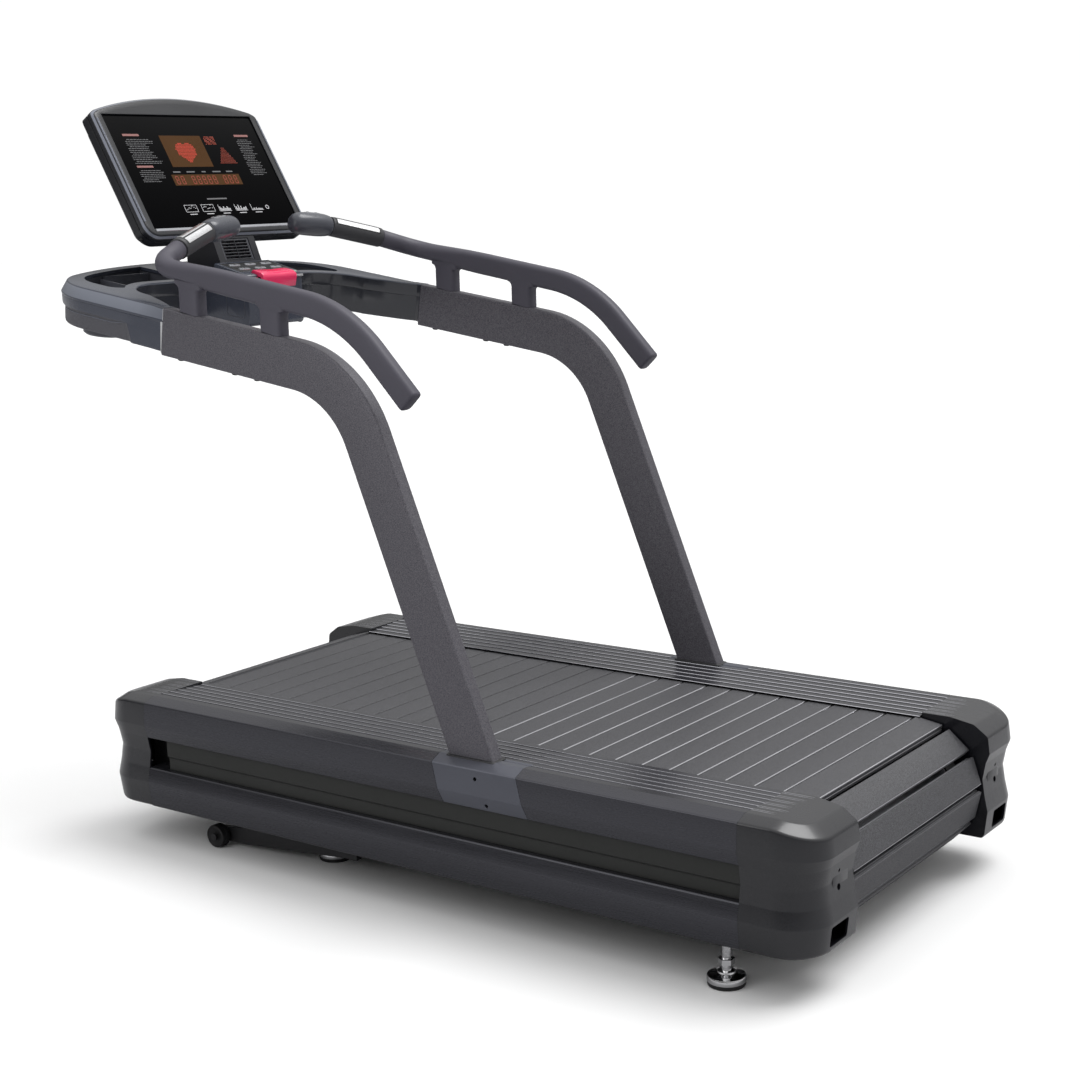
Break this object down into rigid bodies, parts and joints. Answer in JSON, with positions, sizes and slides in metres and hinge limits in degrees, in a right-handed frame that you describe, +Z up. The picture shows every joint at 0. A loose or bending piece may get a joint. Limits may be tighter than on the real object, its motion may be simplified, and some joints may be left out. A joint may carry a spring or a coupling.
{
  "type": "treadmill",
  "caption": "Motorised slat belt treadmill with bent uprights, handrails with pulse grips, a console with display and stop piece, and a lifting front end.",
  "frame": {"origin": "on the floor, under the middle of the machine's bounding box", "axes": "+Z up, +Y forward to the console, +X to the right of a runner who faces the console"},
  "size_m": [0.928, 1.974, 1.6058],
  "materials": {
    "frame_steel": "satin black paint",
    "rail_extrusion": "brushed, dark grey anodised",
    "lower_extrusion": "brushed, dark grey anodised",
    "channel_panel": "dark olive grey satin",
    "cap_plastic": "fine texture",
    "upright_paint": "metallic texture paint",
    "cover_metal": "satin",
    "handrail_skin": "soft touch",
    "grip_plastic": "fine ribs",
    "sensor_steel": "brushed",
    "pod_plastic": "semi gloss",
    "key_metal": "silver",
    "console_plastic": "semi gloss",
    "shell_plastic": "fine texture",
    "well_plastic": "fine texture",
    "panel_black": "gloss",
    "stop_red": "translucent gloss",
    "trim_chrome": "polished",
    "display_glass": "mirror gloss",
    "display_plastic": "fine texture",
    "slat_alloy": "mill finish",
    "tread_rubber": "fine grain",
    "band_rubber": "moulded",
    "drum_steel": "turned",
    "bearing_iron": "painted",
    "motor_body": "satin",
    "guide_plastic": "smooth",
    "screw_steel": "ground",
    "wheel_rubber": "moulded",
    "foot_chrome": "polished",
    "fan_plastic": "moulded"
  },
  "bodies": {
    "machine_frame": {"base_frame": "frame_steel", "guide_rails": "guide_plastic", "side_rail_left": "rail_extrusion", "side_rail_right": "rail_extrusion", "lower_rail_left": "lower_extrusion", "lower_rail_right": "lower_extrusion", "side_panels": "channel_panel", "front_cap_left": "cap_plastic", "front_cap_right": "cap_plastic", "rear_cap_left": "cap_plastic", "rear_cap_right": "cap_plastic", "cap_hatches": "cap_plastic", "upright_left": "upright_paint", "upright_right": "upright_paint", "foot_covers": "cover_metal", "handrail_left": "handrail_skin", "handrail_right": "handrail_skin", "hand_grips": "grip_plastic", "pulse_plates": "sensor_steel", "remote_pods": "pod_plastic", "console_tray": "console_plastic", "console_underside": "shell_plastic", "cup_wells": "well_plastic", "control_block": "console_plastic", "keypad_panel": "panel_black", "trim_strip": "trim_chrome", "console_neck": "display_plastic", "vent_grille": "well_plastic", "display_back": "display_plastic", "display_bezel": "display_plastic", "display_glass": "display_glass", "slats": "slat_alloy", "slat_treads": "tread_rubber", "belt_bands": "band_rubber", "bearings": "bearing_iron", "drive_motor": "motor_body", "drive_belt": "band_rubber", "lift_actuator": "motor_body", "power_inlet": "panel_black"},
    "front_drum": {"front_drum": "drum_steel"},
    "rear_drum": {"rear_drum": "drum_steel"},
    "motor_rotor": {"motor_pulley": "screw_steel"},
    "fan_rotor": {"fan": "fan_plastic"},
    "lift_arm": {"lift_frame": "frame_steel"},
    "lift_screw": {"lift_tube": "screw_steel"},
    "wheel_left": {"wheel_left": "wheel_rubber"},
    "wheel_right": {"wheel_right": "wheel_rubber"},
    "foot_rear_left": {"foot_rear_left": "foot_chrome"},
    "foot_rear_right": {"foot_rear_right": "foot_chrome"},
    "foot_front_left": {"foot_front_left": "foot_chrome"},
    "foot_front_right": {"foot_front_right": "foot_chrome"},
    "stop_button": {"stop_button": "stop_red"},
    "rocker_left": {"remote_rocker_left": "key_metal"},
    "rocker_right": {"remote_rocker_right": "key_metal"},
    "key_1": {"key_1": "key_metal"},
    "key_2": {"key_2": "key_metal"},
    "key_3": {"key_3": "key_metal"},
    "key_4": {"key_4": "key_metal"},
    "key_5": {"key_5": "key_metal"},
    "key_6": {"key_6": "key_metal"}
  },
  "joints": [
    {"name": "front_drum_spin", "type": "hinge", "parent": "machine_frame", "child": "front_drum", "pos_m": [0, 0.613, 0.18405], "axis": [1, 0, 0], "continuous": true},
    {"name": "rear_drum_spin", "type": "hinge", "parent": "machine_frame", "child": "rear_drum", "pos_m": [0, -0.84, 0.18405], "axis": [1, 0, 0], "continuous": true},
    {"name": "motor_spin", "type": "hinge", "parent": "machine_frame", "child": "motor_rotor", "pos_m": [0, 0.413, 0.18405], "axis": [1, 0, 0], "continuous": true},
    {"name": "fan_spin", "type": "hinge", "parent": "machine_frame", "child": "fan_rotor", "pos_m": [0, 0.71838, 1.26151], "axis": [0, -0.9272, 0.3746], "continuous": true},
    {"name": "lift_swing", "type": "hinge", "parent": "machine_frame", "child": "lift_arm", "pos_m": [0, 0.114, 0.062], "axis": [-1, 0, 0], "range_deg": [0, 30]},
    {"name": "lift_extend", "type": "slide", "parent": "machine_frame", "child": "lift_screw", "axis": [0, 1, 0], "range_m": [0, 0.04679]},
    {"name": "wheel_left_spin", "type": "hinge", "parent": "lift_arm", "child": "wheel_left", "pos_m": [-0.392, 0.482, 0.025], "axis": [1, 0, 0], "continuous": true},
    {"name": "wheel_right_spin", "type": "hinge", "parent": "lift_arm", "child": "wheel_right", "pos_m": [0.392, 0.482, 0.025], "axis": [1, 0, 0], "continuous": true},
    {"name": "foot_rear_left_turn", "type": "hinge", "parent": "machine_frame", "child": "foot_rear_left", "pos_m": [-0.418, -0.795, 0.01], "axis": [0, 0, 1], "continuous": true},
    {"name": "foot_rear_right_turn", "type": "hinge", "parent": "machine_frame", "child": "foot_rear_right", "pos_m": [0.418, -0.795, 0.01], "axis": [0, 0, 1], "continuous": true},
    {"name": "foot_front_left_turn", "type": "hinge", "parent": "machine_frame", "child": "foot_front_left", "pos_m": [-0.31, 0.218, 0.01], "axis": [0, 0, 1], "continuous": true},
    {"name": "foot_front_right_turn", "type": "hinge", "parent": "machine_frame", "child": "foot_front_right", "pos_m": [0.31, 0.218, 0.01], "axis": [0, 0, 1], "continuous": true},
    {"name": "key_1_press", "type": "slide", "parent": "machine_frame", "child": "key_1", "axis": [0, 0.2419, -0.9703], "range_m": [0, 0.0012], "stiffness_N_per_m": 600},
    {"name": "key_2_press", "type": "slide", "parent": "machine_frame", "child": "key_2", "axis": [0, 0.2419, -0.9703], "range_m": [0, 0.0012], "stiffness_N_per_m": 600},
    {"name": "key_3_press", "type": "slide", "parent": "machine_frame", "child": "key_3", "axis": [0, 0.2419, -0.9703], "range_m": [0, 0.0012], "stiffness_N_per_m": 600},
    {"name": "key_4_press", "type": "slide", "parent": "machine_frame", "child": "key_4", "axis": [0, 0.2419, -0.9703], "range_m": [0, 0.0012], "stiffness_N_per_m": 600},
    {"name": "key_5_press", "type": "slide", "parent": "machine_frame", "child": "key_5", "axis": [0, 0.2419, -0.9703], "range_m": [0, 0.0012], "stiffness_N_per_m": 600},
    {"name": "key_6_press", "type": "slide", "parent": "machine_frame", "child": "key_6", "axis": [0, 0.2419, -0.9703], "range_m": [0, 0.0012], "stiffness_N_per_m": 600},
    {"name": "stop_press", "type": "slide", "parent": "machine_frame", "child": "stop_button", "axis": [0, 0.2419, -0.9703], "range_m": [0, 0.003], "stiffness_N_per_m": 1500},
    {"name": "rocker_right_tip", "type": "hinge", "parent": "machine_frame", "child": "rocker_right", "pos_m": [0.14905, 0.62182, 1.33498], "axis": [-0.1924, -0.9813, 0], "range_deg": [-3, 3], "stiffness_Nm_per_rad": 0.6},
    {"name": "rocker_left_tip", "type": "hinge", "parent": "machine_frame", "child": "rocker_left", "pos_m": [-0.14905, 0.62182, 1.33498], "axis": [0.1924, -0.9813, 0], "range_deg": [-3, 3], "stiffness_Nm_per_rad": 0.6}
  ],
  "couplings": [
    {"joint": "rear_drum_spin", "follows": "front_drum_spin", "ratio": 1},
    {"joint": "motor_spin", "follows": "front_drum_spin", "ratio": 2.4286},
    {"joint": "lift_extend", "follows": "lift_swing", "m_per_rad": 0.088975}
  ]
}
